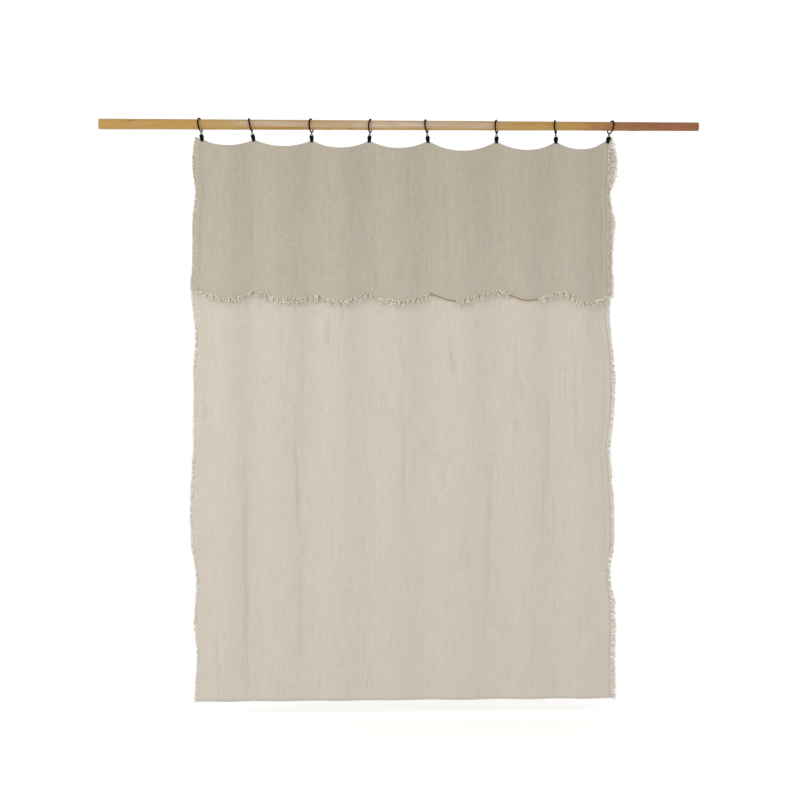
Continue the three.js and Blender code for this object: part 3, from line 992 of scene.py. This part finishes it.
def jaw_half_width(height):
    """Half the jaw's width at a height: rounded tabs, then a taper to the tip."""
    part = settings().hanger
    _, bottom = link_heights()
    down = bottom - 0.55 * MM - height
    corner = 2.2 * MM
    half = part.tab_width / 2
    if down < corner:
        return half - corner + math.sqrt(max(0.0, corner ** 2 - (corner - down) ** 2))
    taper = smooth_step(7.5 * MM, 20 * MM, down)
    return half + (part.tip_width / 2 - half) * taper


def add_jaw_strip(bm):
    """The bent strip of the front jaw, slightly crowned across its width."""
    part = settings().hanger
    grid = bmesh.ops.create_grid(bm, x_segments=12, y_segments=30, size=0.5)
    for vert in grid["verts"]:
        across = vert.co.x * 2
        out, height = jaw_profile(vert.co.y + 0.5)
        crown = 0.3 * MM * (1 - across ** 2) * smooth_step(0.0, 0.25, vert.co.y + 0.5)
        vert.co = Vector((across * jaw_half_width(height), -out - crown * 0.6, height))
    faces = linked(grid["verts"], "link_faces")
    bmesh.ops.recalc_face_normals(bm, faces=faces)
    if faces[len(faces) // 2].normal.y > 0:
        bmesh.ops.reverse_faces(bm, faces=faces)
    bmesh.ops.smooth_vert(bm, verts=grid["verts"], factor=0.25, use_axis_y=True)
    grown = bmesh.ops.extrude_face_region(bm, geom=faces, use_keep_orig=True)
    bmesh.ops.translate(bm, vec=-Y_AXIS * part.sheet, verts=verts_of(grown["geom"]))
    close_up(bm)


def add_ears(bm, inner):
    """Two ears that carry the pin, from the jaw's strip to round the pin."""
    pin = pin_height()
    thick = 0.8 * MM
    for side in (-1, 1):
        middle = side * (inner + thick / 2)
        add_washer(bm, Vector((middle, 0, pin)), 2.3 * MM, 1.3 * MM, thick)
        add_block(
            bm, (middle - thick / 2, -3.3 * MM, pin - 2.1 * MM),
            (middle + thick / 2, -1.55 * MM, pin + 2.1 * MM))


def build_front_jaw():
    bm = bmesh.new()
    add_jaw_strip(bm)
    add_ears(bm, inner=3.9 * MM)
    soften_edges(bm, 0.16 * MM)
    close_up(bm)
    return bm


def build_rear_jaw():
    """The same strip and ears turned to the back, with the lug that hangs from the link."""
    _, bottom = link_heights()
    bm = bmesh.new()
    add_jaw_strip(bm)
    add_ears(bm, inner=2.7 * MM)
    bm.transform(Matrix.Rotation(math.pi, 4, "Z"))
    hole = bottom - LINK_SLACK
    add_washer(bm, Vector((0, 0, hole)), 3.2 * MM, 1.9 * MM, 2 * MM)
    add_block(bm, (-MM, 2.3 * MM, hole - 3.4 * MM), (MM, 5.9 * MM, hole - 0.9 * MM))
    soften_edges(bm, 0.16 * MM)
    close_up(bm)
    return bm


def build_pin():
    """The pin with a low domed head at each end, turned round the X axis."""
    half = ((0.0, 5.75), (0.9, 5.7), (1.5, 5.5), (1.7, 5.2), (1.62, 5.0), (1.0, 5.0), (1.0, 3.0))
    profile = [(-along_x, radius) for radius, along_x in half]
    profile += [(along_x, radius) for radius, along_x in reversed(half)]
    bm = bmesh.new()
    verts = [bm.verts.new((x * MM, radius * MM, 0)) for x, radius in profile]
    edges = [bm.edges.new(pair) for pair in zip(verts, verts[1:])]
    bmesh.ops.spin(
        bm, geom=verts + edges, cent=(0, 0, 0), axis=X_AXIS, angle=2 * math.pi, steps=24, use_merge=True)
    close_up(bm)
    bmesh.ops.translate(bm, vec=Z_AXIS * pin_height(), verts=bm.verts)
    return bm


def build_coil():
    """The torsion spring's coil and the leg behind it that presses on the rear tab."""
    pin = pin_height()
    turns, steps = 5, 100
    bm = bmesh.new()
    circle = bmesh.ops.create_circle(
        bm, cap_ends=True, segments=8, radius=SPRING_WIRE,
        matrix=Matrix.Translation((-COIL_HALF, COIL_RADIUS, pin)))
    geom = circle["verts"] + linked(circle["verts"], "link_edges") + linked(circle["verts"], "link_faces")
    bmesh.ops.spin(
        bm, geom=geom, cent=(0, 0, pin), axis=X_AXIS, dvec=X_AXIS * (2 * COIL_HALF / steps),
        angle=turns * 2 * math.pi, steps=steps, use_duplicate=False)
    close_up(bm)
    add_rod(bm, (COIL_HALF, COIL_RADIUS, pin), (COIL_HALF, LEG_OUT, pin + LEG_UP), SPRING_WIRE, 8)
    return bm


def build_spring_leg():
    """The spring's front leg, which presses on the front tab and moves with it."""
    pin = pin_height()
    bm = bmesh.new()
    add_rod(bm, (-COIL_HALF, -COIL_RADIUS, pin), (-COIL_HALF, -LEG_OUT, pin + LEG_UP), SPRING_WIRE, 8)
    return bm


# ---- Operators ----

class CURTAIN_OT_stage(bpy.types.Operator):
    """Adds the floor, the soft studio lights, the white surroundings and the camera"""

    bl_idname = "curtain.stage"
    bl_label = "Stage"

    def execute(self, context):
        self.add_floor()
        self.add_lights()
        self.add_world(context.scene)
        self.add_camera(context.scene)
        return {"FINISHED"}

    def add_floor(self):
        material, shader, surface = new_material(
            "pale_floor", Roughness=0.95, Specular_IOR_Level=0.1, Emission_Color=(1.0, 1.0, 1.0, 1.0),
            Emission_Strength=0.2)
        speck = shader.noise(object_coordinates(shader), 3.0)
        shader.feed(surface.inputs["Base Color"], shader.mix(speck, (0.93, 0.93, 0.93), (0.96, 0.96, 0.96)))
        bm = bmesh.new()
        place = Matrix.Translation((0, 0, CAD_BOX[0][2] - 0.05))
        bmesh.ops.create_grid(bm, x_segments=1, y_segments=1, size=60.0, matrix=place)
        mesh = bpy.data.meshes.new("floor")
        bm.to_mesh(mesh)
        bm.free()
        mesh.materials.append(material)
        floor = bpy.data.objects.new("floor", mesh)
        bpy.context.scene.collection.objects.link(floor)

    def add_lights(self):
        target = Vector((0, 0, -0.9))
        for name, place, size, power in (
                ("key", (-4.2, -2.3, 0.9), 1.8, 62.0),
                ("fill", (2.6, -3.6, 1.2), 3.0, 10.0),
                ("back", (0.5, 3.4, 1.8), 3.0, 22.0)):
            light = bpy.data.lights.new(name, "AREA")
            light.size = size
            light.energy = power
            lamp = bpy.data.objects.new(name, light)
            lamp.location = place
            lamp.rotation_euler = (target - Vector(place)).to_track_quat("-Z", "Y").to_euler()
            bpy.context.scene.collection.objects.link(lamp)

    def add_world(self, scene):
        world = bpy.data.worlds.new("studio")
        world.use_nodes = True
        world.node_tree.nodes.clear()
        shader = Shader(world.node_tree)
        seen = shader.node("ShaderNodeLightPath").outputs["Is Camera Ray"]
        strength = shader.span(seen, 0.0, 1.0, 0.84, 1.05)
        sky = shader.node("ShaderNodeBackground", {"Color": (1.0, 1.0, 1.0), "Strength": strength})
        shader.node("ShaderNodeOutputWorld", {"Surface": sky.outputs[0]})
        scene.world = world
        scene.view_settings.view_transform = "Standard"

    def add_camera(self, scene):
        """Almost square on to the curtain, from a little left of its middle."""
        distance, yaw, pitch, roll = 4.2, math.radians(1.97), math.radians(0.23), math.radians(0.063)
        data = bpy.data.cameras.new("camera")
        data.sensor_width = 36.0
        data.lens = 58.5
        camera = bpy.data.objects.new("camera", data)
        camera.location = (-0.1485, -distance, -0.9055)
        aim = Matrix.Rotation(-yaw, 4, "Z") @ Matrix.Rotation(math.pi / 2 + pitch, 4, "X")
        camera.rotation_euler = (aim @ Matrix.Rotation(-roll, 4, "Z")).to_euler()
        scene.collection.objects.link(camera)
        scene.camera = camera


class CURTAIN_OT_pole(bpy.types.Operator):
    """Models the tapered wooden pole"""

    bl_idname = "curtain.pole"
    bl_label = "Pole"

    def execute(self, context):
        add_piece("wooden_pole", build_pole(), wood_material(), "pole", ["pole"])
        return {"FINISHED"}


class CURTAIN_OT_hangers(bpy.types.Operator):
    """Models every ring, link, spring clip, pin and spring"""

    bl_idname = "curtain.hangers"
    bl_label = "Rings and clips"

    def execute(self, context):
        part = settings().hanger
        wear = wear_group()
        steel = metal_material("black_steel", part.steel, (0.012, 0.010, 0.009), 0.55, 0.0, wear, 0.4, 0.08)
        brass = metal_material("dull_brass", part.brass, (0.20, 0.15, 0.06), 0.6, 0.3, wear, 0.6, 0.15)
        wire = metal_material("spring_wire", part.spring, (0.5, 0.49, 0.47), 0.38, 1.0, wear, 0.6)
        for number, turn in zip(HANGERS, RING_TURNS):
            place = place_hanger(number)
            yaw = Matrix.Rotation(math.radians(turn), 4, "Z")
            clip, jaw = f"clip_{number}", f"jaw_{number}"
            for name, bm, material, body, node, slot, move in (
                    ("hoop", build_ring(), steel, f"ring_{number}", "ring", "black_steel", place @ yaw),
                    ("loop", build_link(), brass, f"link_{number}", "link", "brass_link", place),
                    ("front_grip", build_front_jaw(), steel, jaw, "front_jaw", "black_steel", place),
                    ("rear_grip", build_rear_jaw(), steel, clip, "rear_jaw", "black_steel", place),
                    ("rivet", build_pin(), steel, clip, "pin", "black_steel", place),
                    ("coil", build_coil(), wire, clip, "spring", "spring_wire", place),
                    ("spring_leg", build_spring_leg(), wire, jaw, None, "spring_wire", place)):
                bm.transform(move)
                replaced = [f"{node}_{number}"] if node else []
                add_piece(f"{name}_{number}", bm, material, body, replaced)
        return {"FINISHED"}


class CURTAIN_OT_cloth(bpy.types.Operator):
    """Models the folded linen"""

    bl_idname = "curtain.cloth"
    bl_label = "Linen"

    def execute(self, context):
        linen = linen_material(slub_group())
        panel = add_piece("linen_panel", build_cloth(), linen, "panel", ["panel_cloth"])
        shell = panel.modifiers.new("thickness", "SOLIDIFY")
        shell.thickness = settings().cloth.thickness
        shell.offset = 0.0
        return {"FINISHED"}


class CURTAIN_OT_fringes(bpy.types.Operator):
    """Models the frayed edges, then gives the panel and its fringes their own meshes"""

    bl_idname = "curtain.fringes"
    bl_label = "Fringes"

    def execute(self, context):
        cloth = settings().cloth
        panel = context.scene.objects.get("linen_panel")
        if panel is None:
            raise RuntimeError("Model the linen before its fringes")
        fringes = self.add_fringes(cloth)
        for piece in [panel, *fringes]:
            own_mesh(piece)
        return {"FINISHED"}

    def add_fringes(self, cloth):
        fray = fray_material()
        made = []
        for side, x, outward in (("left", CLOTH_LEFT, -1), ("right", CLOTH_RIGHT, 1)):
            made += self.add_side(cloth, fray, side, x, outward)
        made.append(add_mesh("flap_threads", flap_threads(), fray, "panel", ["flap_fringe"]))
        return made

    def add_side(self, cloth, fray, side, x, outward):
        """The long fringe of the back layer and the shorter one of the flap, at one side edge."""
        top = fold_top(x)
        low = along(FLAP_EDGE, x)

        def long_at(z):
            wide = 1.35 + 0.5 * smooth_step(-1.50, -1.53, z)
            return cloth.side_fringe * (wide if outward > 0 else 1.0)

        def flap_long_at(z):
            return 1.3 * along(RIGHT_FLAP_THREADS, -z) if outward > 0 else cloth.side_fringe * 1.1

        back = side_threads(
            f"back_{side}", lambda z: back_point(x, z), top - MM, HEM, outward, long_at, 7 + outward)
        front = side_threads(
            f"front_{side}", lambda z: flap_point(x, top - z), top, low, outward, flap_long_at,
            17 + outward, 0.44 * MM)
        return [
            add_mesh(f"side_threads_{side}", back, fray, "panel", [f"side_fringe_{side}"]),
            add_mesh(
                f"flap_side_threads_{side}", front, fray, "panel", [f"flap_side_fringe_{side}"])]


class CURTAIN_PT_panel(bpy.types.Panel):
    """Lists the curtain's operators and settings"""

    bl_idname = "CURTAIN_PT_panel"
    bl_label = "Linen Curtain"
    bl_space_type = "VIEW_3D"
    bl_region_type = "UI"
    bl_category = "Curtain"

    def draw(self, context):
        layout = self.layout
        for operator in OPERATORS:
            layout.operator(operator.bl_idname)
        for group in (context.scene.curtain.cloth, context.scene.curtain.hanger, context.scene.curtain.pole):
            box = layout.box()
            for name in group.__annotations__:
                box.prop(group, name)


OPERATORS = (CURTAIN_OT_stage, CURTAIN_OT_pole, CURTAIN_OT_hangers, CURTAIN_OT_cloth, CURTAIN_OT_fringes)
CLASSES = (CurtainCloth, CurtainHanger, CurtainPole, CurtainSettings, *OPERATORS, CURTAIN_PT_panel)


def register():
    for each in CLASSES:
        bpy.utils.register_class(each)
    bpy.types.Scene.curtain = bpy.props.PointerProperty(type=CurtainSettings)


def unregister():
    del bpy.types.Scene.curtain
    for each in reversed(CLASSES):
        bpy.utils.unregister_class(each)


def main():
    register()
    bpy.ops.curtain.stage()
    bpy.ops.curtain.pole()
    bpy.ops.curtain.hangers()
    bpy.ops.curtain.cloth()
    bpy.ops.curtain.fringes()


if __name__ == "__main__":
    main()
